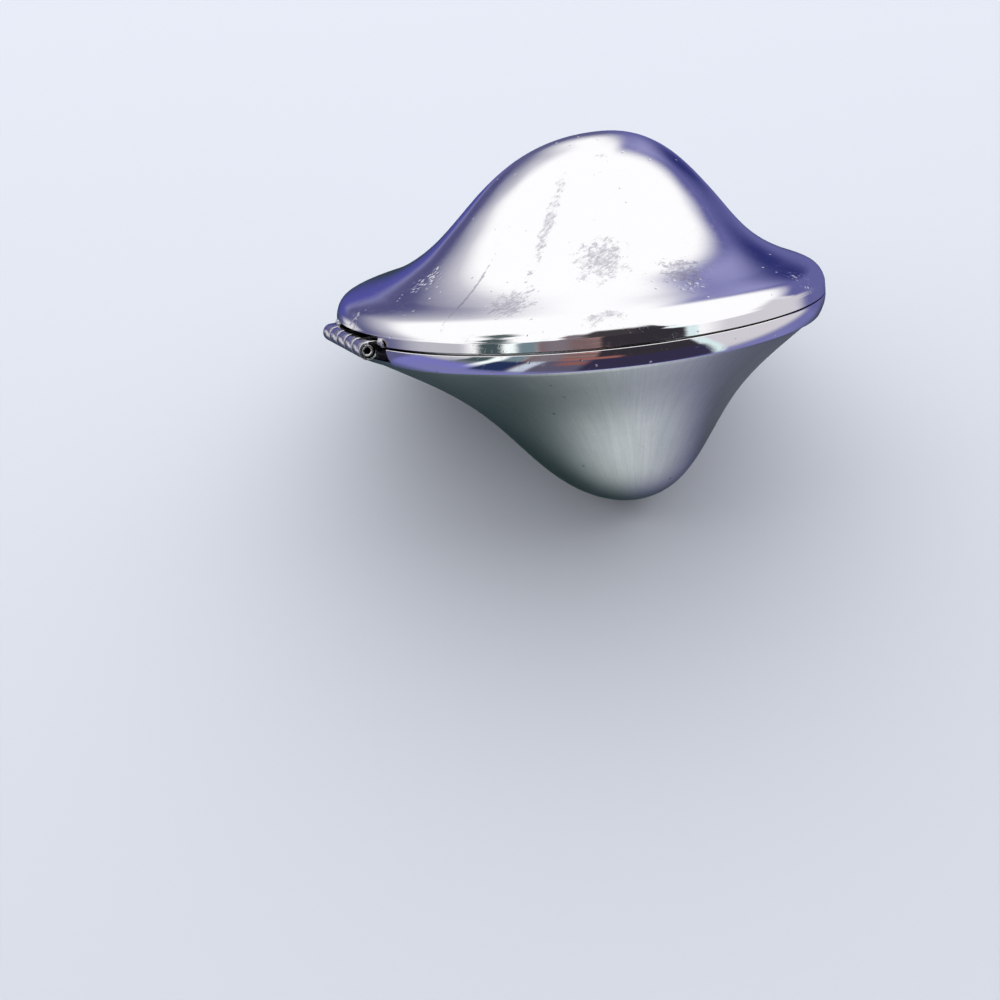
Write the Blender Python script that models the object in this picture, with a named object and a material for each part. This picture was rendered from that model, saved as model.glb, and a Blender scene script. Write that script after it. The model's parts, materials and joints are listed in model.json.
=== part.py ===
"""Hinged silver trinket box shaped like a fat spinning top.

The box is modelled upright round its own axis, which runs through the crown of the lid and the
lower tip: the rims meet in the plane z = 0, the opening lip is at +X and the hinge at -X.
It cannot stand on its tip, so the whole assembly is parented to one empty that lays it down on
the floor, on the tip and on the edge of the lower rim.
All lengths are in metres.
"""

import math

import bmesh
import bpy
import numpy as np
from mathutils import Matrix

# Plan of the rim, from the axis outwards
LIP_REACH = 0.0209
HINGE_REACH = 0.0349
SIDE_REACH = 0.0365
# Towards the axis the sections turn round with this power of their size
ROUNDING_POWER = 0.43
PLAN_SEGMENTS = 60

# Heights above and below the plane where the rims meet
LID_HEIGHT = 0.0203
BASE_DEPTH = 0.0272
# Thin gap between the two rims when the lid is shut
SEAM_GAP = 0.0003

# Sheet of the two shells
LID_WALL = 0.00075
BASE_WALL = 0.00075
# Gap between pieces that are soldered or that rest on each other
SEAT_GAP = 0.0003

# Rim wires: a wall that shows outside and a ledge inside it that carries the shell
RIM_WALL = 0.0013
LEDGE_REACH = 0.0026
RIM_CHAMFER = 0.0001
LID_ROLL_RADIUS = 0.0028
LID_ROLL_TOP = 0.00376
BASE_BAND_HEIGHT = 0.00243
BASE_BAND_TAPER = 0.00083
BASE_FLARE_DROP = 0.00025
ROLL_STEPS = 5
BAND_STEPS = 4

# Inner collar that keeps the lid in line
BEZEL_WALL = 0.0006
BEZEL_RISE = 0.0015
BEZEL_SINK = 0.0016

# Outlines from the axis to the rim: distance share and height share of each control point
LID_OUTLINE_SHARES = (
    (0.0, 1.0), (0.13, 1.0), (0.43, 0.98), (0.54, 0.50), (0.63, 0.23), (0.74, 0.12), (1.0, 0.0))
BASE_OUTLINE_SHARES = (
    (0.0, 1.0), (0.08, 1.0), (0.36, 0.97), (0.45, 0.60), (0.46, 0.43), (0.74, 0.23), (1.0, 0.0))
OUTLINE_STEPS = 12

# Hinge: its axis lies a little outside the rim and a little below the plane of the seam
AXIS_OUTSET = 0.00015
AXIS_DROP = 0.00033
KNUCKLE_RADIUS = 0.0011
KNUCKLE_BORE_RADIUS = 0.00088
PIN_RADIUS = 0.00063
PIN_HOLE_RADIUS = 0.00035
PIN_RECESS = 0.0003
BARREL_LENGTH = 0.0182
KNUCKLE_COUNT = 5
KNUCKLE_GAP = 0.0003
# Notch in the rims behind the barrel, with more room past the barrel's ends in the base
NOTCH_REACH = 0.0022
LID_NOTCH_END_GAP = 0.0008
BASE_NOTCH_END_GAP = 0.0023
LEAF_LIFT = 0.0003
HINGE_SEGMENTS = 24
# Share of a full turn from the side of a knuckle that faces the rim, over the outside, to its top
KNUCKLE_TURN_SHARE = 0.75

# How the box lies: turn about its own axis before it is tipped over, in degrees
REST_SPIN = 18.0
STEEPEST_TILT = 80.0
TILT_SEARCH_STEPS = 40

# How far cutters run past what they cut
CUT_OVERRUN = 0.002

# Edges that turn more than this, in degrees, are shaded as edges
SMOOTHEST_EDGE = 35.0

SILVER_POLISHED = ("silver_polished", (0.90, 0.89, 0.88), 0.10, 1.0)
SILVER_SATIN = ("silver_satin", (0.78, 0.78, 0.77), 0.32, 1.0)
SILVER_SOLDERED = ("silver_soldered", (0.72, 0.71, 0.70), 0.28, 1.0)


def clear_scene():
    for item in list(bpy.data.objects):
        bpy.data.objects.remove(item, do_unlink=True)


def silver(finish):
    """Material of one of the silver finishes, made once."""
    name, colour, roughness, metallic = finish
    found = bpy.data.materials.get(name)
    if found:
        return found
    material = bpy.data.materials.new(name)
    material.use_nodes = True
    shader = material.node_tree.nodes["Principled BSDF"]
    shader.inputs["Base Color"].default_value = (*colour, 1.0)
    shader.inputs["Roughness"].default_value = roughness
    shader.inputs["Metallic"].default_value = metallic
    return material


def plan_angles():
    return np.linspace(0.0, 2.0 * math.pi, PLAN_SEGMENTS, endpoint=False)


def plan_curve(angles, oval=1.0):
    """Points and outward normals of the plan, from a full oval (1) to a circle about the axis (0)."""
    middle = (LIP_REACH + HINGE_REACH) / 2.0
    mean = (middle + SIDE_REACH) / 2.0
    shift = oval * (LIP_REACH - HINGE_REACH) / 2.0
    stretch = oval * (middle - SIDE_REACH) / 2.0
    radius = mean + shift * np.cos(angles) + stretch * np.cos(2.0 * angles)
    slope = -shift * np.sin(angles) - 2.0 * stretch * np.sin(2.0 * angles)
    outward = np.stack([np.cos(angles), np.sin(angles)], 1)
    sideways = np.stack([-np.sin(angles), np.cos(angles)], 1)
    tangent = slope[:, None] * outward + radius[:, None] * sideways
    tangent /= np.linalg.norm(tangent, axis=1)[:, None]
    normal = np.stack([tangent[:, 1], -tangent[:, 0]], 1)
    return radius[:, None] * outward, normal


def rim_loop(inset, height):
    """Closed loop of points that follows the rim at a distance inside it."""
    points, normals = plan_curve(plan_angles())
    flat = points - inset * normals
    return np.column_stack([flat, np.full(len(flat), height)])


def section_loop(share, height):
    """Level section of a shell, its size given as a share of the shell's edge."""
    points, _ = plan_curve(plan_angles(), share ** ROUNDING_POWER)
    _, rim_normals = plan_curve(plan_angles())
    flat = share * (points - (RIM_WALL + SEAT_GAP) * rim_normals)
    return np.column_stack([flat, np.full(len(flat), height)])


def outline(control_shares):
    """Points of a smooth outline drawn by its control points, from the axis to the rim."""
    controls = np.array(control_shares)
    degree = len(controls) - 1
    along = np.linspace(0.0, 1.0, OUTLINE_STEPS + 1)
    weights = []
    for power in range(degree + 1):
        weights.append(math.comb(degree, power) * along ** power * (1.0 - along) ** (degree - power))
    return np.stack(weights, 1) @ controls


def lid_edge_height():
    """Height of the lid's shell where it meets the rolled rim."""
    run = LID_ROLL_RADIUS - RIM_WALL - SEAT_GAP
    return LID_ROLL_TOP - LID_ROLL_RADIUS + math.sqrt(LID_ROLL_RADIUS ** 2 - run ** 2)


def lid_levels():
    """Size share and height of each section of the lid, from the crown to its edge."""
    edge = lid_edge_height()
    return [(size, edge + (LID_HEIGHT - edge) * rise) for size, rise in outline(LID_OUTLINE_SHARES)]


def base_edge_height():
    return -(BASE_BAND_HEIGHT + BASE_FLARE_DROP)


def base_levels():
    """Size share and height of each section of the base, from the tip to its edge."""
    edge = base_edge_height()
    return [(size, edge - (BASE_DEPTH + edge) * drop) for size, drop in outline(BASE_OUTLINE_SHARES)]


def add_ring(mesh, points):
    return [mesh.verts.new(point) for point in points]


def join_rings(mesh, first, second):
    """Wall of faces between two rings with as many corners."""
    for index in range(len(first)):
        following = (index + 1) % len(first)
        mesh.faces.new((first[index], first[following], second[following], second[index]))


def new_object(name, mesh, finish):
    """Object from a finished bmesh, shaded smooth with its sharp edges kept."""
    bmesh.ops.recalc_face_normals(mesh, faces=mesh.faces)
    data = bpy.data.meshes.new(name)
    mesh.to_mesh(data)
    mesh.free()
    data.materials.append(silver(finish))
    data.shade_smooth()
    data.set_sharp_from_angle(angle=math.radians(SMOOTHEST_EDGE))
    item = bpy.data.objects.new(name, data)
    bpy.context.scene.collection.objects.link(item)
    return item


def shell(name, levels, wall, finish):
    """Thin bowl: sections joined from its pole to its edge, thickened inwards."""
    mesh = bmesh.new()
    (_, pole_height), *rings = levels
    loops = [add_ring(mesh, section_loop(size, height)) for size, height in rings]
    pole = mesh.verts.new((0.0, 0.0, pole_height))
    for index, corner in enumerate(loops[0]):
        mesh.faces.new((corner, loops[0][(index + 1) % len(loops[0])], pole))
    for inner, outer in zip(loops, loops[1:]):
        join_rings(mesh, inner, outer)
    item = new_object(name, mesh, finish)
    thick = item.modifiers.new("wall", "SOLIDIFY")
    thick.thickness = wall
    thick.offset = -1.0
    thick.use_even_offset = True
    return item


def hoop(name, section, finish):
    """Closed ring with a given section, each point an inset from the rim and a height."""
    mesh = bmesh.new()
    loops = [add_ring(mesh, rim_loop(inset, height)) for inset, height in section]
    for index, loop in enumerate(loops):
        join_rings(mesh, loop, loops[(index + 1) % len(loops)])
    return new_object(name, mesh, finish)


def lid_rim_section():
    """Rolled outer face from the seam up to the shell, then the ledge that the shell sits on."""
    foot = SEAM_GAP / 2.0
    roll_start = LID_ROLL_TOP - LID_ROLL_RADIUS
    last = math.acos(1.0 - RIM_WALL / LID_ROLL_RADIUS)
    turns = np.linspace(0.0, last, ROLL_STEPS)
    insets = LID_ROLL_RADIUS * (1.0 - np.cos(turns))
    heights = roll_start + LID_ROLL_RADIUS * np.sin(turns)
    ledge_top = lid_edge_height() - LID_WALL - SEAT_GAP
    ledge = [(RIM_WALL, ledge_top), (LEDGE_REACH, ledge_top), (LEDGE_REACH, foot)]
    return [(RIM_CHAMFER, foot), *zip(insets, heights), *ledge]


def base_rim_section():
    """Band that curves in towards its crisp lower edge, then the ledge that the shell hangs from."""
    foot = -SEAM_GAP / 2.0
    band = [(RIM_CHAMFER, foot)]
    for share in np.linspace(0.0, 1.0, BAND_STEPS + 1)[1:]:
        band.append((BASE_BAND_TAPER * share ** 2, -BASE_BAND_HEIGHT * share))
    ledge_under = base_edge_height() + BASE_WALL + SEAT_GAP
    ledge = [(RIM_WALL, ledge_under), (LEDGE_REACH, ledge_under), (LEDGE_REACH, foot)]
    return [*band, (RIM_WALL, -BASE_BAND_HEIGHT), *ledge]


def bezel_section():
    outer = LEDGE_REACH + SEAT_GAP
    inner = outer + BEZEL_WALL
    return [(outer, BEZEL_RISE), (outer, -BEZEL_SINK), (inner, -BEZEL_SINK), (inner, BEZEL_RISE)]


def as_cutter(item):
    item.hide_render = True
    item.display_type = "WIRE"
    return item


def block(name, low, high):
    """Straight-sided block between two corners."""
    mesh = bmesh.new()
    bmesh.ops.create_cube(mesh, size=1.0)
    low = np.array(low)
    high = np.array(high)
    for corner in mesh.verts:
        corner.co = (low + high) / 2.0 + np.array(corner.co) * (high - low)
    return new_object(name, mesh, SILVER_SOLDERED)


def rod(name, radius, length):
    """Round bar centred on the hinge's axis, modelled about its own origin along Y."""
    mesh = bmesh.new()
    bmesh.ops.create_cone(
        mesh, cap_ends=True, segments=HINGE_SEGMENTS, radius1=radius, radius2=radius, depth=length)
    bmesh.ops.rotate(mesh, verts=mesh.verts, matrix=Matrix.Rotation(math.radians(90.0), 3, "X"))
    return new_object(name, mesh, SILVER_SOLDERED)


def cut(item, cutter):
    boolean = item.modifiers.new(cutter.name, "BOOLEAN")
    boolean.operation = "DIFFERENCE"
    boolean.object = cutter


def hinge_notch(name, end_gap, axis):
    """Cutter for the notch that a rim has for the barrel, around the hinge's axis."""
    half_length = BARREL_LENGTH / 2.0 + end_gap
    half_height = KNUCKLE_RADIUS + SEAT_GAP
    low = (-CUT_OVERRUN, -half_length, -half_height)
    high = (NOTCH_REACH, half_length, half_height)
    cutter = as_cutter(block(name, low, high))
    cutter.parent = axis
    return cutter


def knuckle_outline(side):
    """Round knuckle with a leaf to the notch's wall, above (1) or below (-1) the axis."""
    leaf_start = math.asin(LEAF_LIFT / KNUCKLE_RADIUS)
    turns = np.linspace(leaf_start, -KNUCKLE_TURN_SHARE * 2.0 * math.pi, HINGE_SEGMENTS)
    arc = list(zip(KNUCKLE_RADIUS * np.cos(turns), side * KNUCKLE_RADIUS * np.sin(turns)))
    leaf_end = NOTCH_REACH - SEAT_GAP
    return [*arc, (leaf_end, side * KNUCKLE_RADIUS), (leaf_end, side * LEAF_LIFT)]


def knuckle(name, side, length, bore):
    """One knuckle of the barrel with its leaf, centred on its own middle and drilled for the pin."""
    mesh = bmesh.new()
    corners = [mesh.verts.new((across, -length / 2.0, up)) for across, up in knuckle_outline(side)]
    face = mesh.faces.new(corners)
    grown = bmesh.ops.extrude_face_region(mesh, geom=[face])
    moved = [part for part in grown["geom"] if isinstance(part, bmesh.types.BMVert)]
    bmesh.ops.translate(mesh, verts=moved, vec=(0.0, length, 0.0))
    item = new_object(name, mesh, SILVER_SOLDERED)
    cut(item, bore)
    return item


def barrel(axis):
    """Knuckles in a row on the hinge's axis, the lid's at both ends, and the tube that pins them."""
    bore = as_cutter(rod("knuckle_bore_cutter", KNUCKLE_BORE_RADIUS, BARREL_LENGTH + CUT_OVERRUN))
    bore.parent = axis
    length = (BARREL_LENGTH - (KNUCKLE_COUNT - 1) * KNUCKLE_GAP) / KNUCKLE_COUNT
    pitch = length + KNUCKLE_GAP
    pieces = []
    for index in range(KNUCKLE_COUNT):
        on_lid = index % 2 == 0
        name = f"lid_knuckle_{index // 2 + 1}" if on_lid else f"base_knuckle_{index // 2 + 1}"
        piece = knuckle(name, 1.0 if on_lid else -1.0, length, bore)
        piece.location.y = (index - (KNUCKLE_COUNT - 1) / 2.0) * pitch
        pieces.append(piece)
    pin = rod("hinge_pin", PIN_RADIUS, BARREL_LENGTH - 2.0 * PIN_RECESS)
    hole = as_cutter(rod("pin_hole_cutter", PIN_HOLE_RADIUS, BARREL_LENGTH + CUT_OVERRUN))
    hole.parent = axis
    cut(pin, hole)
    for piece in (*pieces, pin):
        piece.parent = axis


def outer_points_of_base():
    """Points of the tip and points of the lower rim that can touch the floor."""
    tip = [section_loop(size, height) for size, height in base_levels()[1:]]
    band = [rim_loop(inset, height) for inset, height in base_rim_section()[: BAND_STEPS + 1]]
    return np.vstack(tip), np.vstack(band)


def lowest_when_tipped(points, tilt):
    """Lowest height of points once the box is turned by its spin and tipped back."""
    spin = math.radians(REST_SPIN)
    back = points[:, 0] * math.sin(spin) + points[:, 1] * math.cos(spin)
    return float(np.min(points[:, 2] * math.cos(tilt) - back * math.sin(tilt)))


def lying_tilt():
    """Tilt at which the tip and the lower rim touch the floor together, found by halving."""
    tip, band = outer_points_of_base()
    least = 0.0
    most = math.radians(STEEPEST_TILT)
    for _ in range(TILT_SEARCH_STEPS):
        middle = (least + most) / 2.0
        if lowest_when_tipped(tip, middle) < lowest_when_tipped(band, middle):
            least = middle
        else:
            most = middle
    return most


def lay_down(frame):
    """Spin and tip the box, then set the middle of its underside on the world's origin."""
    spin = Matrix.Rotation(math.radians(REST_SPIN), 4, "Z")
    frame.rotation_euler = (Matrix.Rotation(-lying_tilt(), 4, "X") @ spin).to_euler()
    bpy.context.view_layer.update()
    shapes = bpy.context.evaluated_depsgraph_get()
    corners = []
    for item in bpy.data.objects:
        if item.type == "MESH" and not item.hide_render:
            solid = item.evaluated_get(shapes)
            corners.extend(solid.matrix_world @ vertex.co for vertex in solid.data.vertices)
    corners = np.array(corners)
    low = corners.min(axis=0)
    high = corners.max(axis=0)
    frame.location = (-(low[0] + high[0]) / 2.0, -(low[1] + high[1]) / 2.0, -low[2])


def main():
    clear_scene()
    frame = bpy.data.objects.new("box_frame", None)
    axis = bpy.data.objects.new("hinge_axis", None)
    for empty in (frame, axis):
        bpy.context.scene.collection.objects.link(empty)
    axis.location = (-(HINGE_REACH + AXIS_OUTSET), 0.0, -AXIS_DROP)
    axis.parent = frame

    lid_rim = hoop("lid_rim_ring", lid_rim_section(), SILVER_POLISHED)
    cut(lid_rim, hinge_notch("lid_notch_cutter", LID_NOTCH_END_GAP, axis))
    base_rim = hoop("base_rim_ring", base_rim_section(), SILVER_POLISHED)
    cut(base_rim, hinge_notch("base_notch_cutter", BASE_NOTCH_END_GAP, axis))
    lid = shell("lid_shell", lid_levels(), LID_WALL, SILVER_POLISHED)
    base = shell("base_shell", base_levels(), BASE_WALL, SILVER_SATIN)
    bezel = hoop("closing_bezel", bezel_section(), SILVER_SATIN)
    for piece in (lid_rim, base_rim, lid, base, bezel):
        piece.parent = frame
    barrel(axis)
    lay_down(frame)


main()
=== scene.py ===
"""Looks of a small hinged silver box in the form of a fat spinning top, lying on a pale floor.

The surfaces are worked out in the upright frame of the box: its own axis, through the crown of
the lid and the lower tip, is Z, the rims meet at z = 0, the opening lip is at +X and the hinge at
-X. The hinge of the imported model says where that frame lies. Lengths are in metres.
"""

from __future__ import annotations

import json
import logging
import math
from dataclasses import dataclass, field
from enum import Enum

import bpy
import numpy as np
from mathutils import Matrix, Vector


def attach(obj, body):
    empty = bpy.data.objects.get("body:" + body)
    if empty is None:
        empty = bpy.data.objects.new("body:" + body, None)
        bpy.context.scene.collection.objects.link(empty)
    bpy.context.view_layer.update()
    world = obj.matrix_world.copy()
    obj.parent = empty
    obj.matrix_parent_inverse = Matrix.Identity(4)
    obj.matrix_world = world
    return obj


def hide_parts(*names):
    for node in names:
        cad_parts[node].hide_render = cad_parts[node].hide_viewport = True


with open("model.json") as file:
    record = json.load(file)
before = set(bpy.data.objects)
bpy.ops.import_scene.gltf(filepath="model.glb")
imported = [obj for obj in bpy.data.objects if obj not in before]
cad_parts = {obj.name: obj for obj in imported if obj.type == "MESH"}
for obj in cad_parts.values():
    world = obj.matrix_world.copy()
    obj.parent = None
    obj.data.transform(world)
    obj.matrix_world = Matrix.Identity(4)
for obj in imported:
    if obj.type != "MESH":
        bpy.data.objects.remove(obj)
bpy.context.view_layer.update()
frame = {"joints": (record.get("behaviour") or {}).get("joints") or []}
LOG = logging.getLogger("silver_box")
MM = 0.001
SHARP_ANGLE = math.radians(32.0)
EDGE_TURNS = tuple(math.radians(turn) for turn in (0.0, 30.0, 60.0, 90.0))
Array = np.ndarray
Socket = bpy.types.NodeSocket
Pair = tuple[float, float]
Triple = tuple[float, float, float]


def even_turns(count: int) -> Array:
    """Evenly spread angles once round, in radians."""
    return np.linspace(0.0, math.tau, count, endpoint=False)


def smooth(share: Array) -> Array:
    """Smooth rise from 0 to 1, level before 0 and after 1."""
    share = np.clip(share, 0.0, 1.0)
    return share * share * (3.0 - 2.0 * share)


def put(name: str, data: bpy.types.ID) -> bpy.types.Object:
    """Puts a new object into the scene, at the origin.

    Args:
        name: Its name.
        data: Its mesh, lamp or camera.

    Returns:
        The object.
    """
    item = bpy.data.objects.new(name, data)
    bpy.context.scene.collection.objects.link(item)
    return item


class Body(Enum):
    """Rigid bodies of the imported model."""

    BASE = "base"
    LID = "lid"


class Slot(Enum):
    """Material slots of the record."""

    POLISHED = "silver_polished"
    SATIN = "silver_satin"
    SOLDERED = "silver_soldered"


@dataclass(frozen=True)
class PlanOval:
    """Offset oval that the rims follow, and the rounder sections nearer the axis."""

    lip_reach: float = 20.9 * MM
    hinge_reach: float = 34.9 * MM
    side_reach: float = 36.5 * MM
    rounding_power: float = 0.43
    columns: int = 360
    notch_search: float = 0.75 * math.pi
    pair_step_share: float = 0.02

    def curve(self, angles: Array, oval: float = 1.0) -> tuple[Array, Array]:
        """Points and outward normals of the plan.

        The radius is a mean, plus a cosine that shifts it to the hinge, plus a cosine of twice
        the angle that broadens it; both cosines fade as oval goes from 1 to 0.

        Args:
            angles: Plan angles from the lip, in radians.
            oval: 1 for the full oval, 0 for a circle about the axis.

        Returns:
            Arrays of points and of unit normals, two numbers a row.
        """
        middle = (self.lip_reach + self.hinge_reach) / 2.0
        mean = (middle + self.side_reach) / 2.0
        shift = oval * (self.lip_reach - self.hinge_reach) / 2.0
        stretch = oval * (middle - self.side_reach) / 2.0
        radius = mean + shift * np.cos(angles) + stretch * np.cos(2.0 * angles)
        slope = -shift * np.sin(angles) - 2.0 * stretch * np.sin(2.0 * angles)
        outward = np.stack([np.cos(angles), np.sin(angles)], 1)
        sideways = np.stack([-np.sin(angles), np.cos(angles)], 1)
        tangent = slope[:, None] * outward + radius[:, None] * sideways
        tangent /= np.linalg.norm(tangent, axis=1)[:, None]
        return radius[:, None] * outward, np.stack([tangent[:, 1], -tangent[:, 0]], 1)

    def angles(self, half_notch: float) -> Array:
        """Evenly spread plan angles, with a close pair at each end of a notch behind the hinge.

        Args:
            half_notch: Half the length of the notch.

        Returns:
            Sorted plan angles in radians.
        """
        near = np.linspace(self.notch_search, math.pi, self.columns)
        across = self.curve(near)[0][:, 1]
        end = float(np.interp(-half_notch, -across, near))
        step = self.pair_step_share * math.pi / self.columns
        ends = np.array([end - step, end + step, math.tau - end - step, math.tau - end + step])
        return np.sort(np.concatenate([even_turns(self.columns), ends]))

    def in_notch(self, angles: Array, half_notch: float) -> Array:
        """Which columns cross a notch behind the hinge, from half its length."""
        points, _ = self.curve(angles)
        return (np.abs(points[:, 1]) < half_notch) & (points[:, 0] < 0.0)

    def rim(self, angles: Array, inset: float | Array, height: float | Array) -> Array:
        """Ring of points inside the rim.

        Args:
            angles: Plan angles of the columns.
            inset: Distance from the rim along its normal, one number or one a column.
            height: Height, one number or one a column.

        Returns:
            Points, one row a column.
        """
        points, normals = self.curve(angles)
        inward = np.reshape(inset, (-1, 1)) * normals
        return np.column_stack([points - inward, np.broadcast_to(height, len(points))])

    def rims(self, angles: Array, *places: tuple[float | Array, float | Array]) -> list[Array]:
        """Rings inside the rim, one for each pair of a distance and a height."""
        return [self.rim(angles, inset, height) for inset, height in places]

    def section(self, angles: Array, share: float, height: float, seat: float) -> Array:
        """Level section of a shell: the plan rounded by a power of its share, then shrunk.

        Args:
            angles: Plan angles of the columns.
            share: Size of the section, as a share of the shell's edge.
            height: Its height.
            seat: Inset of the shell's edge from the rim.

        Returns:
            Points, one row a column.
        """
        points, _ = self.curve(angles, share ** self.rounding_power)
        _, rim_normals = self.curve(angles)
        return np.column_stack([share * (points - seat * rim_normals), np.full(len(points), height)])


@dataclass(frozen=True)
class BoxSizes:
    """Sizes of the box that more than one of its pieces follows."""

    plan: PlanOval = field(default_factory=PlanOval)
    lid_height: float = 20.3 * MM
    base_depth: float = 27.2 * MM
    seam_gap: float = 0.3 * MM
    seam_closing: float = 0.62
    wall: float = 0.75 * MM
    seat_gap: float = 0.3 * MM
    rim_wall: float = 1.3 * MM
    ledge_reach: float = 2.6 * MM
    roll_radius: float = 2.8 * MM
    roll_top: float = 3.76 * MM
    band_height: float = 2.43 * MM
    band_taper: float = 0.83 * MM
    flare_drop: float = 0.25 * MM
    edge_round: float = 0.05 * MM
    axis_outset: float = 0.15 * MM
    axis_drop: float = 0.33 * MM
    knuckle_radius: float = 1.1 * MM
    bore_radius: float = 0.88 * MM
    pin_radius: float = 0.63 * MM
    pin_hole_radius: float = 0.38 * MM
    pin_recess: float = 0.3 * MM
    barrel_length: float = 18.2 * MM
    knuckle_count: int = 5
    knuckle_gap: float = 0.3 * MM
    notch_reach: float = 2.2 * MM
    lid_notch_end: float = 0.8 * MM
    base_notch_end: float = 2.3 * MM
    leaf_lift: float = 0.3 * MM
    pole_share: float = 0.03

    def shell(self, outline: tuple[Pair, ...], angles: Array, count: int, last: float,
              edge: float, rise: float) -> Array:
        """Rings of a shell from its pole on: level sections that follow an outline.

        Args:
            outline: Control points of the outline, as shares of the size and of the rise.
            angles: Plan angles of the columns.
            count: Number of rings.
            last: How far along the outline the last ring is.
            edge: Height of the shell's edge.
            rise: Height of its pole over its edge, less than 0 for a pole below it.

        Returns:
            Points, rings by columns by 3.
        """
        along = np.linspace(self.pole_share, last, count)
        return np.array([self.plan.section(angles, size, edge + rise * share, self.seat)
                         for size, share in bezier(outline, along)])

    def half_seam(self, angles: Array) -> Array:
        """Half the seam's gap round the rim, which shrinks evenly from the hinge to the lip.

        Args:
            angles: Plan angles of the columns.

        Returns:
            Half the gap at each column.
        """
        across = self.plan.curve(angles)[0][:, 0]
        share = (across + self.plan.hinge_reach) / (self.plan.hinge_reach + self.plan.lip_reach)
        return self.seam_gap / 2.0 * (1.0 - self.seam_closing * share)

    @property
    def seat(self) -> float:
        """Inset of the shells' edges from the rim."""
        return self.rim_wall + self.seat_gap

    @property
    def lid_edge(self) -> float:
        """Height where the lid's shell meets the roll."""
        run = self.roll_radius - self.seat
        return self.roll_top - self.roll_radius + math.sqrt(self.roll_radius ** 2 - run ** 2)

    @property
    def axis_x(self) -> float:
        """Place of the hinge's axis along X."""
        return -(self.plan.hinge_reach + self.axis_outset)

    @property
    def notch_wall_x(self) -> float:
        """Place of the notch's inner wall along X."""
        return self.axis_x + self.notch_reach

    @property
    def notch_half_height(self) -> float:
        """Distance from the hinge's axis to the notch's ceiling and to its floor."""
        return self.knuckle_radius + self.seat_gap


@dataclass(frozen=True)
class UprightFrame:
    """Place of the box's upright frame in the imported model."""

    origin: Array
    axes: Array

    @classmethod
    def from_model(cls, sizes: BoxSizes) -> UprightFrame:
        """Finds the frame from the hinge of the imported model.

        The hinge's axis is -Y of the upright frame. The frame's Z is at right angles to it and
        turned about it so that X and Z keep the spin with which the box was laid down.

        Args:
            sizes: Sizes of the box.

        Returns:
            The frame.
        """
        joint = frame["joints"][0]
        side = -np.array(joint["axis"], float)
        lip_level = math.sqrt(1.0 - side[0] ** 2)
        lip = np.array([lip_level, -side[0] * side[1] / lip_level, -side[0] * side[2] / lip_level])
        up = np.cross(lip, side)
        axes = np.column_stack([lip, side, up])
        hinge = np.array([sizes.axis_x, 0.0, -sizes.axis_drop])
        return cls(np.array(joint["pos_m"], float) - axes @ hinge, axes)

    def place(self, points: Array) -> Array:
        """Points of the upright frame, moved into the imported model's frame."""
        return points @ self.axes.T + self.origin


class Weave:
    """Normals, faces and volume of grids of points whose columns close round."""

    @staticmethod
    def upward(grid: Array) -> Array:
        """Unit normals of a grid, from the cross product of its two directions.

        Args:
            grid: Points, rings by columns by 3.

        Returns:
            Normals of the same shape, on the side that faces up in the first ring.
        """
        around = np.roll(grid, -1, axis=1) - np.roll(grid, 1, axis=1)
        normal = np.cross(np.gradient(grid, axis=0), around)
        normal /= np.maximum(np.linalg.norm(normal, axis=2)[..., None], 1e-12)
        return normal if normal[0, :, 2].mean() > 0.0 else -normal

    @staticmethod
    def faces(rows: int, columns: int, wrap_rows: bool) -> Array:
        """Quads between the rings of a grid.

        Args:
            rows: Number of rings.
            columns: Points in each ring.
            wrap_rows: True to join the last ring to the first.

        Returns:
            Corner numbers, four a row, ring after ring.
        """
        index = np.arange(rows * columns).reshape(rows, columns)
        if wrap_rows:
            index = np.vstack([index, index[:1]])
        following = np.roll(index, -1, axis=1)
        quads = np.stack([index[:-1], following[:-1], following[1:], index[1:]], 2)
        return quads.reshape(-1, 4)

    @staticmethod
    def volume(points: Array, faces: Array) -> float:
        """Volume inside quads, as the sum of the tetrahedra that they make with the origin.

        Args:
            points: Points, three numbers a row.
            faces: Corner numbers, four a row.

        Returns:
            The volume, less than 0 when the faces look inwards.
        """
        a, b, c, d = (points[faces[:, k]] for k in range(4))
        halves = np.cross(a, b) * c + np.cross(a, c) * d
        return float(halves.sum()) / 6.0


class Channel:
    """A number that varies over a surface; arithmetic on it adds Math nodes."""

    def __init__(self, tree: Tree, socket: Socket) -> None:
        """Wraps a socket of a node tree."""
        self.tree = tree
        self.socket = socket

    def math(self, operation: str, first: Channel | float, second: Channel | float) -> Channel:
        """Result of a Math node on two values."""
        node = self.tree.node("ShaderNodeMath", {"operation": operation}, {0: first, 1: second})
        return Channel(self.tree, node.outputs[0])

    def __add__(self, other: Channel | float) -> Channel:
        """Sum."""
        return self.math("ADD", self, other)

    __radd__ = __add__

    def __mul__(self, other: Channel | float) -> Channel:
        """Product."""
        return self.math("MULTIPLY", self, other)

    __rmul__ = __mul__

    def __sub__(self, other: Channel | float) -> Channel:
        """Difference."""
        return self.math("SUBTRACT", self, other)

    def __rsub__(self, other: float) -> Channel:
        """Difference from a number."""
        return self.math("SUBTRACT", other, self)

    def __abs__(self) -> Channel:
        """Distance from 0."""
        return self.math("ABSOLUTE", self, 0.0)

    def step(self, low: float, high: float) -> Channel:
        """Smooth rise over a stretch of values.

        Args:
            low: Value up to which the result is 0.
            high: Value from which it is 1.

        Returns:
            The result.
        """
        node = self.tree.node(
            "ShaderNodeMapRange", {"interpolation_type": "SMOOTHSTEP"}, {0: self, 1: low, 2: high})
        return Channel(self.tree, node.outputs[0])


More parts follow.
